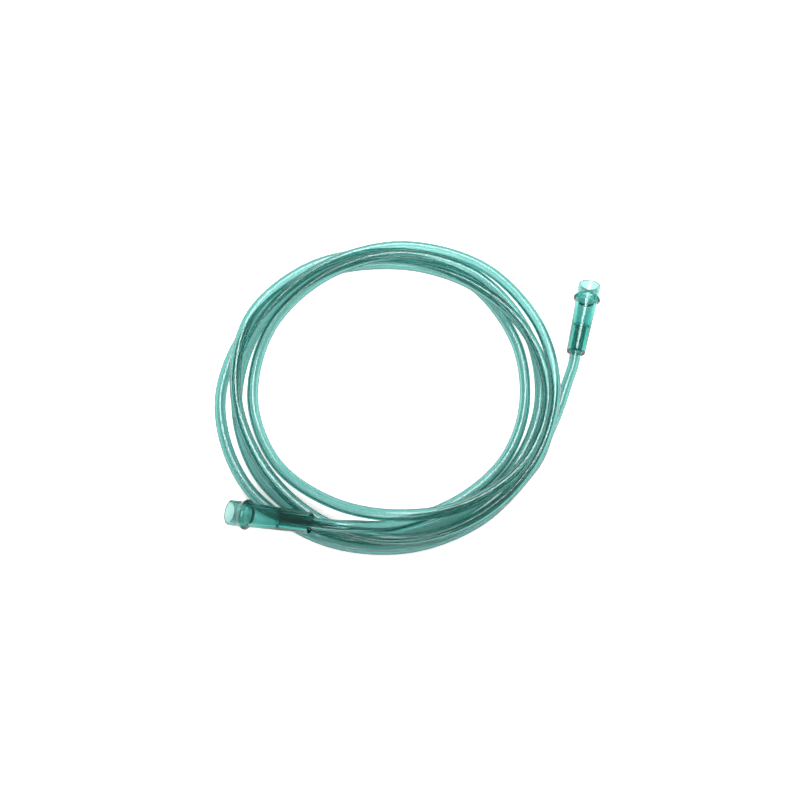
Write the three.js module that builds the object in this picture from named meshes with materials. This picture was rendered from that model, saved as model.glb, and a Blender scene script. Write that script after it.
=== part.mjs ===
// Coil of oxygen supply tubing: one hollow tube wound in loose turns, with the same moulded connector on each end.
// Millimetres, +Z up, X to the right of the coil, Y away from the viewer, origin on the floor under the middle.
import * as THREE from 'three';

// The tube's section.
const tubeOuterDiameter = 5.5;
const tubeBore = 3.4;
const tubeSides = 10;
const boreSides = 8;

// What is left free where the tube goes into a connector, all round and at its end.
const clearance = 0.3;

// The connector, with lengths measured along its axis from the mouth.
const connectorLength = 39;
const mouthDiameter = 11.6;
const mouthWall = 1.2;
const mouthDepth = 8.2;
const ringCentre = 8.2;
const ringWidth = 4.6;
const ringCrestWidth = 0.8;
const ringDiameter = 13.8;
const neckDiameter = 11;
const tubeEndDiameter = 9.4;
const socketDiameter = 8.6;
const socketEndDiameter = 6.2;
const socketDepth = 24;
const stopThickness = 1;
const stopBore = 4.4;
const connectorSides = 24;

// Where the middle of each connector's tube end is, and how its axis runs from there to the mouth.
const coilMiddle = [-6.6, -4.9];
const connectorA = { tubeEnd: [-39.8, -65.0, 15.1], headingDegrees: -80.6, riseDegrees: -10.0 };
const connectorB = { tubeEnd: [89.0, 24.1, 4.9], headingDegrees: 15.2, riseDegrees: 3.9 };

// The turns: how far the tube's middle is from the coil's, at every 30 degrees clockwise from 120 degrees.
const turnStart = 120;
const turnStep = 30;
const stepsPerStation = 3;
const turnRadii = [
  [72.5, 71.5, 74.0, 78.9, 85.5, 89.2, 87.5, 82.0, 75.5, 72.0, 72.0, 72.3],
  [68.3, 63.4, 61.4, 63.0, 68.2, 72.5, 75.0, 76.0, 78.0, 78.5, 75.0, 69.5],
  [65.3, 64.2, 67.6, 73.3, 78.0, 80.5, 81.0, 82.5, 85.0, 84.5, 79.0, 74.5],
  [72.0, 71.0, 71.2, 72.3, 74.2, 79.5, 87.1, 88.5, 83.8, 75.5, 67.5, 62.0],
  [59.5, 58.9, 64.2],
];

// The layer that each of those places lies in: 1 is on the floor, 2 is on one tube, and so on.
const turnLayers = [
  [1.0, 1.0, 1.0, 1.0, 1.0, 1.0, 1.0, 1.2, 1.55, 2.05, 2.2, 2.15],
  [2.2, 2.5, 3.1, 2.5, 1.8, 1.6, 2.1, 2.5, 2.55, 2.0, 1.2, 1.0],
  [1.0, 1.0, 1.0, 1.0, 1.1, 1.4, 2.0, 2.25, 2.15, 2.1, 2.6, 3.1],
  [3.0, 2.55, 2.05, 2.1, 2.5, 2.75, 2.35, 1.4, 1.0, 1.0, 1.0, 1.0],
  [1.0, 1.35, 2.15],
];

// The free stretches between each connector and the turns, and how far the tube leaves a connector straight.
const straightOut = 8;
const tailB = [
  [83.4, 7.5, 3.3],
  [78.6, -4.8, 2.75],
  [72.6, -17.6, 2.75],
];
const tailA = [
  [-21.5, -66.7, 15.8],
];

const tubingMaterial = new THREE.MeshStandardMaterial({
  color: 0x74b0aa, roughness: 0.22, metalness: 0, transparent: true, opacity: 0.7,
});
const connectorMaterial = new THREE.MeshStandardMaterial({
  color: 0x2f8f80, roughness: 0.15, metalness: 0, transparent: true, opacity: 0.75,
});

// The unit vector from a connector's tube end to its mouth.
function mouthDirection({ headingDegrees, riseDegrees }) {
  const heading = THREE.MathUtils.degToRad(headingDegrees);
  const rise = THREE.MathUtils.degToRad(riseDegrees);
  return new THREE.Vector3(
    Math.sin(heading) * Math.cos(rise),
    Math.cos(heading) * Math.cos(rise),
    Math.sin(rise),
  );
}

// A point on a connector's axis, so many millimetres from its tube end toward the mouth.
function axisPoint(connector, distance) {
  return new THREE.Vector3(...connector.tubeEnd).addScaledVector(mouthDirection(connector), distance);
}

// The middle line of the tube. Its steps are even in degrees, so turns side by side have their facets side by side.
class TubeRoute extends THREE.CatmullRomCurve3 {
  constructor(points) {
    super(points, false, 'catmullrom', 0.5);
  }

  getPoint(t, target) {
    const point = super.getPoint(t, target);
    point.z = Math.max(point.z, tubeOuterDiameter / 2);
    return point;
  }

  getPointAt(t, target) {
    return this.getPoint(t, target);
  }

  getTangentAt(t, target) {
    return this.getTangent(t, target);
  }
}

function turnPoints() {
  const layers = turnLayers.flat();
  return turnRadii.flat().map((radius, index) => {
    const angle = THREE.MathUtils.degToRad(turnStart + turnStep * index);
    const height = (layers[index] - 0.5) * tubeOuterDiameter;
    return new THREE.Vector3(radius * Math.sin(angle), radius * Math.cos(angle), height);
  });
}

function tubeRoute() {
  const insertion = connectorLength - socketDepth - stopThickness - clearance;
  return new TubeRoute([
    axisPoint(connectorB, insertion),
    axisPoint(connectorB, 0),
    axisPoint(connectorB, -straightOut),
    ...tailB.map((point) => new THREE.Vector3(...point)),
    ...turnPoints(),
    ...tailA.map((point) => new THREE.Vector3(...point)),
    axisPoint(connectorA, -straightOut),
    axisPoint(connectorA, 0),
    axisPoint(connectorA, insertion),
  ]);
}

function ringPath(PathClass, radius, sides) {
  const path = new PathClass();
  for (let side = 0; side < sides; side += 1) {
    const angle = (2 * Math.PI * side) / sides;
    const x = radius * Math.cos(angle);
    const y = radius * Math.sin(angle);
    if (side === 0) path.moveTo(x, y);
    else path.lineTo(x, y);
  }
  path.closePath();
  return path;
}

function makeTubing() {
  const route = tubeRoute();
  const section = ringPath(THREE.Shape, tubeOuterDiameter / 2, tubeSides);
  section.holes.push(ringPath(THREE.Path, tubeBore / 2, boreSides));
  const geometry = new THREE.ExtrudeGeometry(section, {
    steps: (route.points.length - 1) * stepsPerStation,
    extrudePath: route,
    curveSegments: 1,
  });
  const tubing = new THREE.Mesh(geometry, tubingMaterial);
  tubing.name = 'tubing';
  return tubing;
}

// The connector's wall, turned about its axis: outside from the mouth to the tube end, and back inside.
function connectorProfile() {
  const tubeSocket = tubeOuterDiameter / 2 + clearance;
  const stopEnd = socketDepth + stopThickness;
  return [
    [mouthDiameter / 2 - mouthWall, 0],
    [mouthDiameter / 2, 0],
    [mouthDiameter / 2, ringCentre - ringWidth / 2],
    [ringDiameter / 2, ringCentre - ringCrestWidth / 2],
    [ringDiameter / 2, ringCentre + ringCrestWidth / 2],
    [neckDiameter / 2, ringCentre + ringWidth / 2],
    [tubeEndDiameter / 2, connectorLength],
    [tubeSocket, connectorLength],
    [tubeSocket, stopEnd],
    [stopBore / 2, stopEnd],
    [stopBore / 2, socketDepth],
    [socketEndDiameter / 2, socketDepth],
    [socketDiameter / 2, mouthDepth],
    [mouthDiameter / 2 - mouthWall, mouthDepth],
    [mouthDiameter / 2 - mouthWall, 0],
  ].map(([radius, fromMouth]) => new THREE.Vector2(radius, connectorLength - fromMouth));
}

function makeConnector(name, connector) {
  const geometry = new THREE.LatheGeometry(connectorProfile().reverse(), connectorSides);
  const mesh = new THREE.Mesh(geometry, connectorMaterial);
  mesh.name = name;
  mesh.position.set(...connector.tubeEnd);
  mesh.quaternion.setFromUnitVectors(new THREE.Vector3(0, 1, 0), mouthDirection(connector));
  return mesh;
}

const coil = new THREE.Group();
coil.add(makeTubing(), makeConnector('connector_a', connectorA), makeConnector('connector_b', connectorB));
coil.position.set(coilMiddle[0], coilMiddle[1], 0);

export default coil;
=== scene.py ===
import math

import bmesh
import bpy
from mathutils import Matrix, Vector


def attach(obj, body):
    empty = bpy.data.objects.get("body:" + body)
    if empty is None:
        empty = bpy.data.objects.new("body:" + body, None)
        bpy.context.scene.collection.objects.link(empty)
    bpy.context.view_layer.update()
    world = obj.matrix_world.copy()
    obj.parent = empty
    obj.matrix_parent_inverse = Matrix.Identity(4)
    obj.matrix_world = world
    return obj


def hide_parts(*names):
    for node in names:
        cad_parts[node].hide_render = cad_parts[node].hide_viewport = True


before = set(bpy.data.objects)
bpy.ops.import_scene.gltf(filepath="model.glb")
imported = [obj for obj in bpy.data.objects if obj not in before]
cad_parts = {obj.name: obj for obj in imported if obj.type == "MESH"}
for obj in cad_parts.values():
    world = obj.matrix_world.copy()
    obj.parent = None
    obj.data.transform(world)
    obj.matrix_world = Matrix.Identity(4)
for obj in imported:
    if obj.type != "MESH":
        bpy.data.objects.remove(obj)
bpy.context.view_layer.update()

# A coil of oxygen supply tubing: a clear green hose in four and a third loose turns, with a connector on each
# end.
# Sizes in the dictionaries are in millimetres and angles in degrees; everything in the scene is in metres.
mm = 0.001
print("stage: frame loaded,", len(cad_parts), "nodes")

coilMiddle = Vector((-6.6, -4.9, 0)) * mm  # the middle of the turns, seen from the middle of the whole part


def linear(hexColour):
    values = [int(hexColour[i:i + 2], 16) / 255 for i in (1, 3, 5)]
    values = [v / 12.92 if v <= 0.04045 else ((v + 0.055) / 1.055) ** 2.4 for v in values]
    return (*values, 1.0)


def addNode(tree, kind, settings=None, links=None):
    # a setting or link is given by its socket's name, or by its number where names repeat
    node = tree.nodes.new(kind)
    for key, value in (settings or {}).items():
        if isinstance(key, int) or key in node.inputs:
            node.inputs[key].default_value = value
        else:
            setattr(node, key, value)
    for key, source in (links or {}).items():
        tree.links.new(source, node.inputs[key])
    return node


# Camera and room

studio = {
    "elevation": 68,
    "distance": 345,
    "focalPixels": 690,
    "picturePixels": 800,  # the picture's width
    "sensorWidth": 36,
    "clipRange": (0.01, 20),  # metres
    "bounces": 32,  # where three turns lie on each other, light meets at least twelve surfaces
    "floorSize": 3000,
    "floorColour": "#fbfaf9",
    "floorRoughness": 0.9,
    "floorGloss": 0.1,
    "frontGlow": 0.42,  # the floor is an opal light table, so the plastic is lit from below as well
    "backGlow": 0.95,
    "glowStarts": -90,
    "glowIsFull": 0,
    "skyColour": "#fffdfb",
    "skyStrength": 0.45,
    "backLamp": {"place": (0.09, 0.38, 0.82), "size": (0.4, 0.4), "radiance": 15.0},  # against 1 for white
    "frontLamp": {"place": (-0.1, -0.75, 0.8), "size": (0.7, 0.4), "radiance": 6.0},
}


def makeCamera():
    data = bpy.data.cameras.new("Camera")
    data.sensor_width = studio["sensorWidth"]
    data.lens = studio["focalPixels"] / studio["picturePixels"] * data.sensor_width
    data.clip_start, data.clip_end = studio["clipRange"]
    camera = bpy.data.objects.new("Camera", data)
    bpy.context.collection.objects.link(camera)
    elevation = math.radians(studio["elevation"])
    back = Vector((0, -math.cos(elevation), math.sin(elevation)))
    camera.location = coilMiddle + back * studio["distance"] * mm
    camera.rotation_euler = (-back).to_track_quat("-Z", "Y").to_euler()
    bpy.context.scene.camera = camera


def makeFloor():
    half = studio["floorSize"] / 2 * mm
    mesh = bpy.data.meshes.new("floor")
    corners = [(-half, -half, 0), (half, -half, 0), (half, half, 0), (-half, half, 0)]
    mesh.from_pydata(corners, [], [(0, 1, 2, 3)])
    floor = bpy.data.objects.new("floor", mesh)
    bpy.context.collection.objects.link(floor)
    material = bpy.data.materials.new("opalTable")
    material.use_nodes = True
    tree = material.node_tree
    shader = tree.nodes["Principled BSDF"]
    shader.inputs["Base Color"].default_value = linear(studio["floorColour"])
    shader.inputs["Roughness"].default_value = studio["floorRoughness"]
    shader.inputs["Specular IOR Level"].default_value = studio["floorGloss"]
    shader.inputs["Emission Color"].default_value = linear(studio["floorColour"])
    place = addNode(tree, "ShaderNodeTexCoord")
    split = addNode(tree, "ShaderNodeSeparateXYZ", links={"Vector": place.outputs["Object"]})
    glow = addNode(tree, "ShaderNodeMapRange", {
        "interpolation_type": "SMOOTHSTEP",
        "From Min": studio["glowStarts"] * mm,
        "From Max": studio["glowIsFull"] * mm,
        "To Min": studio["frontGlow"],
        "To Max": studio["backGlow"],
    }, {"Value": split.outputs["Y"]})
    tree.links.new(glow.outputs["Result"], shader.inputs["Emission Strength"])
    mesh.materials.append(material)


def makeSoftbox(name):
    lamp = studio[name]
    data = bpy.data.lights.new(name, "AREA")
    data.shape = "RECTANGLE"
    data.size, data.size_y = lamp["size"]
    data.energy = lamp["radiance"] * math.pi * data.size * data.size_y
    light = bpy.data.objects.new(name, data)
    bpy.context.collection.objects.link(light)
    light.location = lamp["place"]
    light.rotation_euler = (-Vector(lamp["place"])).to_track_quat("-Z", "Y").to_euler()


def makeSky():
    world = bpy.data.worlds.new("studioSky")
    bpy.context.scene.world = world
    world.use_nodes = True
    background = world.node_tree.nodes["Background"]
    background.inputs["Color"].default_value = linear(studio["skyColour"])
    background.inputs["Strength"].default_value = studio["skyStrength"]


makeCamera()
makeFloor()
makeSky()
makeSoftbox("backLamp")
makeSoftbox("frontLamp")
bpy.context.scene.view_settings.view_transform = "Standard"
bpy.context.scene.cycles.max_bounces = studio["bounces"]
bpy.context.scene.cycles.transmission_bounces = studio["bounces"]
bpy.context.scene.cycles.use_denoising = True
print("stage: camera, floor and light")


# Materials

# What both plastics share: how fine their streaks are, how far these vary the roughness, and how far the
# painted shade, a greyer colour at the start of a piece, takes to fade out.
streak = {
    "detail": 2.0,
    "fineness": 0.5,
    "dullFrom": 0.3,
    "dullTo": 0.7,
    "leastRoughness": 0.6,
    "mostRoughness": 1.4,
    "paintedShadeFade": 1.2,
}


def makeClearPlastic(name, look):
    material = bpy.data.materials.new(name)
    material.use_nodes = True
    tree = material.node_tree
    tree.nodes.clear()
    across = addNode(tree, "ShaderNodeAttribute", {"attribute_name": "across"})
    along = addNode(tree, "ShaderNodeAttribute", {"attribute_name": "along"})
    drawn = addNode(tree, "ShaderNodeCombineXYZ", links={"Z": along.outputs["Fac"]})
    stretch = addNode(tree, "ShaderNodeVectorMath", {
        "operation": "MULTIPLY",
        1: (0, 0, look["streakWidth"] / look["streakLength"]),
    }, {0: drawn.outputs["Vector"]})
    grain = addNode(tree, "ShaderNodeVectorMath", {"operation": "ADD"}, {
        0: across.outputs["Vector"], 1: stretch.outputs["Vector"]})
    streaks = addNode(tree, "ShaderNodeTexNoise", {
        "Scale": 1 / (look["streakWidth"] * mm),
        "Detail": streak["detail"],
        "Roughness": streak["fineness"],
    }, {"Vector": grain.outputs["Vector"]})
    haze = addNode(tree, "ShaderNodeMix", {
        "data_type": "RGBA",
        6: linear(look["surfaceColour"]),
        7: linear(look["streakColour"]),
    }, {"Factor": streaks.outputs["Fac"]})
    # painted shade: from the start of a piece (a connector's mouth) the colour is greyer, then fades back out
    shadeFactor = addNode(tree, "ShaderNodeMapRange", {
        "From Min": look["paintedShadeTo"] * mm,
        "From Max": (look["paintedShadeTo"] + streak["paintedShadeFade"]) * mm,
        "To Min": 1.0,
        "To Max": 0.0,
    }, {"Value": along.outputs["Fac"]})
    hazeAndShade = addNode(tree, "ShaderNodeMix", {
        "data_type": "RGBA",
        7: linear(look["paintedShadeColour"]),
    }, {"Factor": shadeFactor.outputs["Result"], 6: haze.outputs[2]})
    dull = addNode(tree, "ShaderNodeMapRange", {
        "From Min": streak["dullFrom"],
        "From Max": streak["dullTo"],
        "To Min": look["roughness"] * streak["leastRoughness"],
        "To Max": look["roughness"] * streak["mostRoughness"],
    }, {"Value": streaks.outputs["Fac"]})
    relief = addNode(tree, "ShaderNodeBump", {
        "Strength": look["reliefStrength"],
        "Distance": look["relief"] * mm,
    }, {"Height": streaks.outputs["Fac"]})
    shader = addNode(tree, "ShaderNodeBsdfPrincipled", {
        "IOR": look["ior"],
        "Transmission Weight": look["clearness"],
        "Specular IOR Level": look["gloss"],
    }, {
        "Base Color": hazeAndShade.outputs[2],
        "Roughness": dull.outputs["Result"],
        "Normal": relief.outputs["Normal"],
    })
    depth = addNode(tree, "ShaderNodeVolumeAbsorption", {
        "Color": linear(look["depthColour"]),
        "Density": look["density"],
    })
    output = addNode(tree, "ShaderNodeOutputMaterial")
    tree.links.new(shader.outputs["BSDF"], output.inputs["Surface"])
    tree.links.new(depth.outputs["Volume"], output.inputs["Volume"])
    return material


# Soft PVC, extruded and tinted green. Light takes its colour inside the wall, so a turn seen through another
# is darker, and faint streaks run along it from the die. The index of refraction is lower than real PVC's,
# about 1.53, which brings the contrast at the bore closer to the photo's.
tubePvc = {
    "surfaceColour": "#ffffff",
    "streakColour": "#eee8e6",
    "streakWidth": 0.9,
    "streakLength": 70,
    "paintedShadeTo": 0,
    "paintedShadeColour": "#eee8e6",
    "depthColour": "#39c9c4",
    "density": 870,
    "roughness": 0.13,
    "relief": 0.03,
    "reliefStrength": 0.1,
    "clearness": 1.0,
    "gloss": 0.7,
    "ior": 1.42,
}

# Rigid clear plastic, moulded and polished, and greener than the tube because its walls are thicker. Its
# mouth is painted greyer, a painted shade that darkens it. The index of refraction is lowered as in the tube.
connectorPlastic = {
    "surfaceColour": "#fbfafa",
    "streakColour": "#f0edec",
    "streakWidth": 1.3,
    "streakLength": 30,
    # painted shade: the first 7.5 mm from the mouth get a greyer colour
    "paintedShadeTo": 7.5,
    "paintedShadeColour": "#dcd8d7",
    "depthColour": "#37d6d0",
    "density": 720,
    "roughness": 0.1,
    "relief": 0.03,
    "reliefStrength": 0.15,
    "clearness": 1.0,
    "gloss": 0.8,
    "ior": 1.42,
}

tubeMaterial = makeClearPlastic("extrudedGreenPvc", tubePvc)
connectorMaterial = makeClearPlastic("mouldedGreenPlastic", connectorPlastic)
print("stage: materials")


# Connectors

connector = {
    "length": 39,
    "mouthDiameter": 11.6,
    "mouthWall": 1.2,
    "mouthDepth": 8.2,
    "ringCentre": 8.2,
    "ringWidth": 4.6,
    "ringCrestWidth": 0.8,
    "ringDiameter": 13.8,
    "neckDiameter": 11,
    "tubeEndDiameter": 9.4,
    "socketDiameter": 8.6,
    "socketEndDiameter": 6.2,
    "socketDepth": 24,
    "stopThickness": 1,
    "stopBore": 4.4,
    "clearance": 0.3,
    "sidesAround": 120,
    "edgeRadius": 0.22,
    "ringEdgeRadius": 0.1,
    "cavityEdgeRadius": 0.6,
    "cornerSteps": 4,
    "cornerReach": 0.45,  # the most of a side that a rounding may take
    "cornerSupport": 1.1,  # where the points beyond a rounding's ends are, against its reach
    "ribCount": 8,
    "ribHeight": 0.28,
    "ribStart": 1.5,  # beyond the mouth's depth
    "ribStop": 0.3,  # before the socket's end
    "ribFoot": 0.45,
    "ribTop": 0.95,
}
connectorPlaces = {
    "connector_a": {"tubeEnd": (-39.8, -65.0, 15.1), "heading": -80.6, "rise": -10.0},
    "connector_b": {"tubeEnd": (89.0, 24.1, 4.9), "heading": 15.2, "rise": 3.9},
}


def mouthDirection(place):
    heading, rise = math.radians(place["heading"]), math.radians(place["rise"])
    level = math.cos(rise)
    return Vector((math.sin(heading) * level, math.cos(heading) * level, math.sin(rise)))


def axisPoint(place, distance):
    return coilMiddle + (Vector(place["tubeEnd"]) + mouthDirection(place) * distance) * mm


def roundCorners(corners):
    # each corner of a closed outline, given as radius, distance from the mouth and rounding, becomes a short
    # arc with a point beyond each end, so that what lies between two corners is shaded flat
    points = []
    steps, most, support = connector["cornerSteps"], connector["cornerReach"], connector["cornerSupport"]
    for index, (*corner, radius) in enumerate(corners):
        before, after = corners[index - 1][:2], corners[(index + 1) % len(corners)][:2]
        here = Vector(corner)
        back, ahead = Vector(before) - here, Vector(after) - here
        reach = min(radius, back.length * most, ahead.length * most)
        start, end = here + back.normalized() * reach, here + ahead.normalized() * reach
        points.append(here + back.normalized() * reach * support)
        for step in range(steps + 1):
            t = step / steps
            points.append(start * (1 - t) ** 2 + here * 2 * t * (1 - t) + end * t ** 2)
        points.append(here + ahead.normalized() * reach * support)
    return points


def connectorOutline():
    c = connector
    mouth, cavity = c["mouthDiameter"] / 2, c["mouthDiameter"] / 2 - c["mouthWall"]
    tubeSocket = tube["outerDiameter"] / 2 + c["clearance"]
    stopEnd = c["socketDepth"] + c["stopThickness"]
    soft, crisp = c["edgeRadius"], c["ringEdgeRadius"]
    corners = [
        (cavity, 0, soft),
        (mouth, 0, soft),
        (mouth, c["ringCentre"] - c["ringWidth"] / 2, crisp),
        (c["ringDiameter"] / 2, c["ringCentre"] - c["ringCrestWidth"] / 2, crisp),
        (c["ringDiameter"] / 2, c["ringCentre"] + c["ringCrestWidth"] / 2, crisp),
        (c["neckDiameter"] / 2, c["ringCentre"] + c["ringWidth"] / 2, crisp),
        (c["tubeEndDiameter"] / 2, c["length"], soft),
        (tubeSocket, c["length"], soft),
        (tubeSocket, stopEnd, crisp),
        (c["stopBore"] / 2, stopEnd, crisp),
        (c["stopBore"] / 2, c["socketDepth"], crisp),
        (c["socketEndDiameter"] / 2, c["socketDepth"], crisp),
        (c["socketDiameter"] / 2, c["mouthDepth"], c["cavityEdgeRadius"]),
        (cavity, c["mouthDepth"], c["cavityEdgeRadius"]),
    ]
    return roundCorners(corners)


def ribTree():
    # raises ribs on the bore, each one running along it, by moving its points toward the axis
    tree = bpy.data.node_groups.new("boreRibs", "GeometryNodeTree")
    face = tree.interface
    face.new_socket("Geometry", in_out="INPUT", socket_type="NodeSocketGeometry")
    for name, kind in (("Rib Count", "Int"), ("Rib Height", "Float"), ("Material", "Material")):
        face.new_socket(name, in_out="INPUT", socket_type="NodeSocket" + kind)
    face.new_socket("Geometry", in_out="OUTPUT", socket_type="NodeSocketGeometry")
    given = addNode(tree, "NodeGroupInput")
    turn = addNode(tree, "GeometryNodeInputNamedAttribute", {"data_type": "FLOAT", "Name": "turn"})
    inward = addNode(tree, "GeometryNodeInputNamedAttribute", {"data_type": "FLOAT_VECTOR", "Name": "inward"})
    phase = addNode(tree, "ShaderNodeMath", {"operation": "MULTIPLY"}, {
        0: turn.outputs["Attribute"], 1: given.outputs["Rib Count"]})
    wave = addNode(tree, "ShaderNodeMath", {"operation": "COSINE"}, {0: phase.outputs["Value"]})
    rib = addNode(tree, "ShaderNodeMapRange", {
        "interpolation_type": "SMOOTHSTEP",
        "From Min": connector["ribFoot"],
        "From Max": connector["ribTop"],
    }, {"Value": wave.outputs["Value"]})
    height = addNode(tree, "ShaderNodeMath", {"operation": "MULTIPLY"}, {
        0: rib.outputs["Result"], 1: given.outputs["Rib Height"]})
    offset = addNode(tree, "ShaderNodeVectorMath", {"operation": "SCALE"}, {
        0: inward.outputs["Attribute"], "Scale": height.outputs["Value"]})
    raised = addNode(tree, "GeometryNodeSetPosition", links={
        "Geometry": given.outputs["Geometry"], "Offset": offset.outputs["Vector"]})
    real = addNode(tree, "GeometryNodeRealizeInstances", links={"Geometry": raised.outputs["Geometry"]})
    painted = addNode(tree, "GeometryNodeSetMaterial", links={
        "Geometry": real.outputs["Geometry"], "Material": given.outputs["Material"]})
    addNode(tree, "NodeGroupOutput", links={"Geometry": painted.outputs["Geometry"]})
    return tree


def bakeTree(piece, tree, values):
    # runs a tree on a piece, and leaves the piece a plain mesh
    modifier = piece.modifiers.new("tree", "NODES")
    modifier.node_group = tree
    for item in tree.interface.items_tree:
        if item.in_out == "INPUT" and item.name in values:
            modifier[item.identifier] = values[item.name]
    evaluated = piece.evaluated_get(bpy.context.evaluated_depsgraph_get())
    mesh = bpy.data.meshes.new_from_object(evaluated)
    piece.modifiers.remove(modifier)
    before = piece.data
    piece.data = mesh
    bpy.data.meshes.remove(before)
    mesh.name = piece.name
    return mesh


def turnConnectorOutline(place):
    outline = connectorOutline()
    sides = connector["sidesAround"]
    axis = mouthDirection(place)
    side = axis.cross(Vector((0, 0, 1))).normalized()
    up = side.cross(axis)
    ribbed = connector["mouthDepth"] + connector["ribStart"], connector["socketDepth"] - connector["ribStop"]
    vertices, faces, turns, inwards, alongs, acrosses = [], [], [], [], [], []
    for radius, fromMouth in outline:
        centre = axisPoint(place, connector["length"] - fromMouth)
        inBore = ribbed[0] < fromMouth < ribbed[1] and radius < connector["socketDiameter"] / 2
        for step in range(sides):
            angle = 2 * math.pi * step / sides
            outward = side * math.cos(angle) + up * math.sin(angle)
            vertices.append(centre + outward * radius * mm)
            turns.append(angle)
            inwards.extend(-outward if inBore else (0, 0, 0))
            alongs.append(fromMouth * mm)
            acrosses.extend(Vector((math.cos(angle), math.sin(angle), 0)) * radius * mm)
    count = len(outline)
    for ring in range(count):
        for step in range(sides):
            a, b = ring * sides + step, ring * sides + (step + 1) % sides
            nextRing = (ring + 1) % count * sides
            faces.append((a, b, nextRing + (step + 1) % sides, nextRing + step))
    mesh = bpy.data.meshes.new("connectorTurned")
    mesh.from_pydata(vertices, [], faces)
    for name, kind, field, values in (
        ("turn", "FLOAT", "value", turns),
        ("inward", "FLOAT_VECTOR", "vector", inwards),
        ("along", "FLOAT", "value", alongs),
        ("across", "FLOAT_VECTOR", "vector", acrosses),
    ):
        mesh.attributes.new(name, kind, "POINT").data.foreach_set(field, values)
    turned = bmesh.new()
    turned.from_mesh(mesh)
    bmesh.ops.recalc_face_normals(turned, faces=turned.faces)
    turned.to_mesh(mesh)
    turned.free()
    mesh.shade_smooth()
    return mesh


def makeConnector(node, place):
    piece = bpy.data.objects.new(node + "_moulding", turnConnectorOutline(place))
    bpy.context.collection.objects.link(piece)
    bakeTree(piece, ribTree(), {
        "Rib Count": connector["ribCount"],
        "Rib Height": connector["ribHeight"] * mm,
        "Material": connectorMaterial,
    })
    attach(piece, "root")
    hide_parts(node)
    return piece


# Tube

tube = {
    "outerDiameter": 5.5,
    "bore": 3.4,
    "sidesAround": 40,
    "ringsPerStation": 12,
    "turnStart": 120,
    "turnStep": 30,
    "straightOut": 8,
    "endReach": 10,  # an open edge this close to an end of the route belongs to that end
    "length": 2.1,  # metres
}

# How far the tube's middle is from the coil's at every 30 degrees clockwise, and the layer that it lies in
# there: 1 is on the floor, 2 is on one tube, and so on.
turnRadii = [
    [72.5, 71.5, 74.0, 78.9, 85.5, 89.2, 87.5, 82.0, 75.5, 72.0, 72.0, 72.3],
    [68.3, 63.4, 61.4, 63.0, 68.2, 72.5, 75.0, 76.0, 78.0, 78.5, 75.0, 69.5],
    [65.3, 64.2, 67.6, 73.3, 78.0, 80.5, 81.0, 82.5, 85.0, 84.5, 79.0, 74.5],
    [72.0, 71.0, 71.2, 72.3, 74.2, 79.5, 87.1, 88.5, 83.8, 75.5, 67.5, 62.0],
    [59.5, 58.9, 64.2],
]
turnLayers = [
    [1.0, 1.0, 1.0, 1.0, 1.0, 1.0, 1.0, 1.2, 1.55, 2.05, 2.2, 2.15],
    [2.2, 2.5, 3.1, 2.5, 1.8, 1.6, 2.1, 2.5, 2.55, 2.0, 1.2, 1.0],
    [1.0, 1.0, 1.0, 1.0, 1.1, 1.4, 2.0, 2.25, 2.15, 2.1, 2.6, 3.1],
    [3.0, 2.55, 2.05, 2.1, 2.5, 2.75, 2.35, 1.4, 1.0, 1.0, 1.0, 1.0],
    [1.0, 1.35, 2.15],
]
tailB = [(83.4, 7.5, 3.3), (78.6, -4.8, 2.75), (72.6, -17.6, 2.75)]
tailA = [(-21.5, -66.7, 15.8)]


def routeStations():
    placeA, placeB = connectorPlaces["connector_a"], connectorPlaces["connector_b"]
    c = connector
    insertion = c["length"] - c["socketDepth"] - c["stopThickness"] - c["clearance"]
    stations = [axisPoint(placeB, d) for d in (insertion, 0, -tube["straightOut"])]
    stations += [coilMiddle + Vector(point) * mm for point in tailB]
    layers = sum(turnLayers, [])
    for index, radius in enumerate(sum(turnRadii, [])):
        angle = math.radians(tube["turnStart"] + tube["turnStep"] * index)
        height = (layers[index] - 0.5) * tube["outerDiameter"]
        place = Vector((radius * math.sin(angle), radius * math.cos(angle), height))
        stations.append(coilMiddle + place * mm)
    stations += [coilMiddle + Vector(point) * mm for point in tailA]
    stations += [axisPoint(placeA, d) for d in (-tube["straightOut"], 0, insertion)]
    return stations


def smoothRoute(stations, steps):
    # the same curve through the stations as the construction has, and never into the floor
    points = []
    for index in range(len(stations) - 1):
        p1, p2 = stations[index], stations[index + 1]
        p0 = stations[index - 1] if index > 0 else p1 * 2 - p2
        p3 = stations[index + 2] if index + 2 < len(stations) else p2 * 2 - p1
        for step in range(steps):
            t = step / steps
            point = (p1 * 2 + (p2 - p0) * t + (p0 * 2 - p1 * 5 + p2 * 4 - p3) * t ** 2
                     + (p1 * 3 - p0 - p2 * 3 + p3) * t ** 3) * 0.5
            points.append(point)
    points.append(stations[-1])
    for point in points:
        point.z = max(point.z, tube["outerDiameter"] / 2 * mm)
    return points


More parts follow.
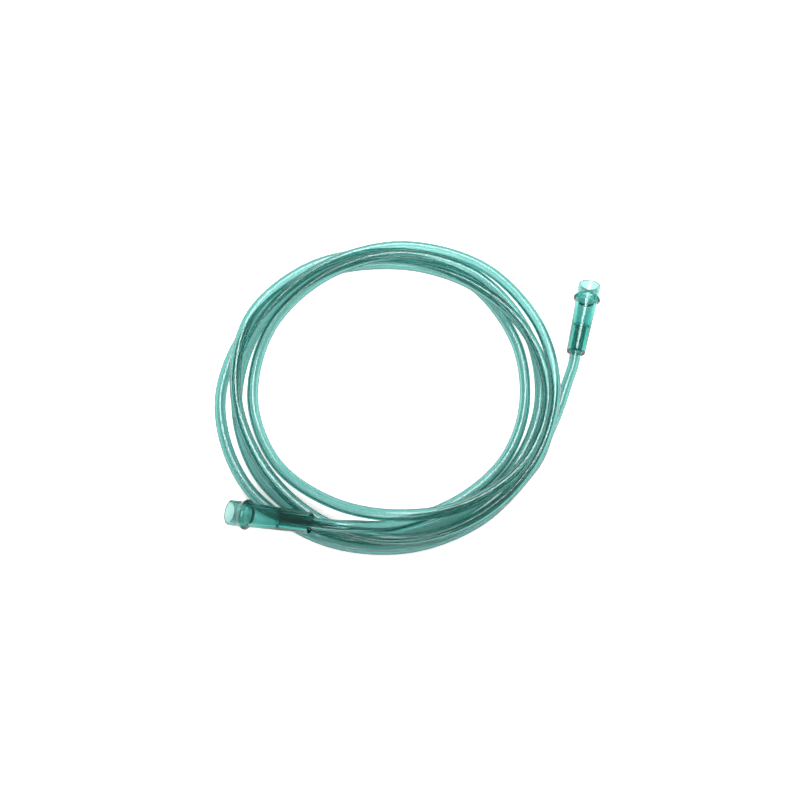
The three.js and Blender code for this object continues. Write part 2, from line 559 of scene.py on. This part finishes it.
def hoseTree():
    # sweeps the outer wall and the bore along the route, with the bore's faces turned inward
    tree = bpy.data.node_groups.new("hoseSweep", "GeometryNodeTree")
    face = tree.interface
    face.new_socket("Geometry", in_out="INPUT", socket_type="NodeSocketGeometry")
    for name, kind in (
        ("Outer Radius", "Float"), ("Bore Radius", "Float"), ("Sides", "Int"), ("Material", "Material"),
    ):
        face.new_socket(name, in_out="INPUT", socket_type="NodeSocket" + kind)
    face.new_socket("Geometry", in_out="OUTPUT", socket_type="NodeSocketGeometry")
    given = addNode(tree, "NodeGroupInput")
    middle = addNode(tree, "GeometryNodeMeshToCurve", links={"Mesh": given.outputs["Geometry"]})
    travelled = addNode(tree, "GeometryNodeSplineParameter")
    marked = addNode(tree, "GeometryNodeStoreNamedAttribute", {"data_type": "FLOAT", "Name": "along"}, {
        "Geometry": middle.outputs["Curve"], "Value": travelled.outputs["Length"]})
    place = addNode(tree, "GeometryNodeInputPosition")
    walls = []
    for radius in ("Outer Radius", "Bore Radius"):
        ring = addNode(tree, "GeometryNodeCurvePrimitiveCircle", links={
            "Resolution": given.outputs["Sides"], "Radius": given.outputs[radius]})
        section = addNode(tree, "GeometryNodeStoreNamedAttribute", {
            "data_type": "FLOAT_VECTOR", "Name": "across",
        }, {"Geometry": ring.outputs["Curve"], "Value": place.outputs["Position"]})
        wall = addNode(tree, "GeometryNodeCurveToMesh", links={
            "Curve": marked.outputs["Geometry"], "Profile Curve": section.outputs["Geometry"]})
        walls.append(wall.outputs["Mesh"])
    inward = addNode(tree, "GeometryNodeFlipFaces", links={"Mesh": walls[1]})
    both = addNode(tree, "GeometryNodeJoinGeometry", links={"Geometry": walls[0]})
    tree.links.new(inward.outputs["Mesh"], both.inputs["Geometry"])
    smooth = addNode(tree, "GeometryNodeSetShadeSmooth", links={"Geometry": both.outputs["Geometry"]})
    real = addNode(tree, "GeometryNodeRealizeInstances", links={"Geometry": smooth.outputs["Geometry"]})
    painted = addNode(tree, "GeometryNodeSetMaterial", links={
        "Geometry": real.outputs["Geometry"], "Material": given.outputs["Material"]})
    addNode(tree, "NodeGroupOutput", links={"Geometry": painted.outputs["Geometry"]})
    return tree


def closeEnds(mesh):
    # joins the outer wall to the bore with a flat ring at each end
    ends = bmesh.new()
    ends.from_mesh(mesh)
    for middle in (route[0], route[-1]):
        reach = tube["endReach"] * mm
        edges = [e for e in ends.edges if e.is_boundary and (e.verts[0].co - middle).length < reach]
        made = bmesh.ops.bridge_loops(ends, edges=edges)
        for face in made["faces"]:
            face.smooth = False
    bmesh.ops.recalc_face_normals(ends, faces=ends.faces)
    ends.to_mesh(mesh)
    ends.free()


def makeTube():
    line = bpy.data.meshes.new("hoseRoute")
    line.from_pydata(route, [(i, i + 1) for i in range(len(route) - 1)], [])
    piece = bpy.data.objects.new("hose", line)
    bpy.context.collection.objects.link(piece)
    mesh = bakeTree(piece, hoseTree(), {
        "Outer Radius": tube["outerDiameter"] / 2 * mm,
        "Bore Radius": tube["bore"] / 2 * mm,
        "Sides": tube["sidesAround"],
        "Material": tubeMaterial,
    })
    closeEnds(mesh)
    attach(piece, "root")
    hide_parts("tubing")
    return piece


route = smoothRoute(routeStations(), tube["ringsPerStation"])
hose = makeTube()
print("stage: tube,", len(hose.data.polygons), "faces, with", len(hose.data.materials), "material")

mouldings = [makeConnector(node, place) for node, place in connectorPlaces.items()]
print("stage: connectors,", sum(len(piece.data.polygons) for piece in mouldings), "faces")
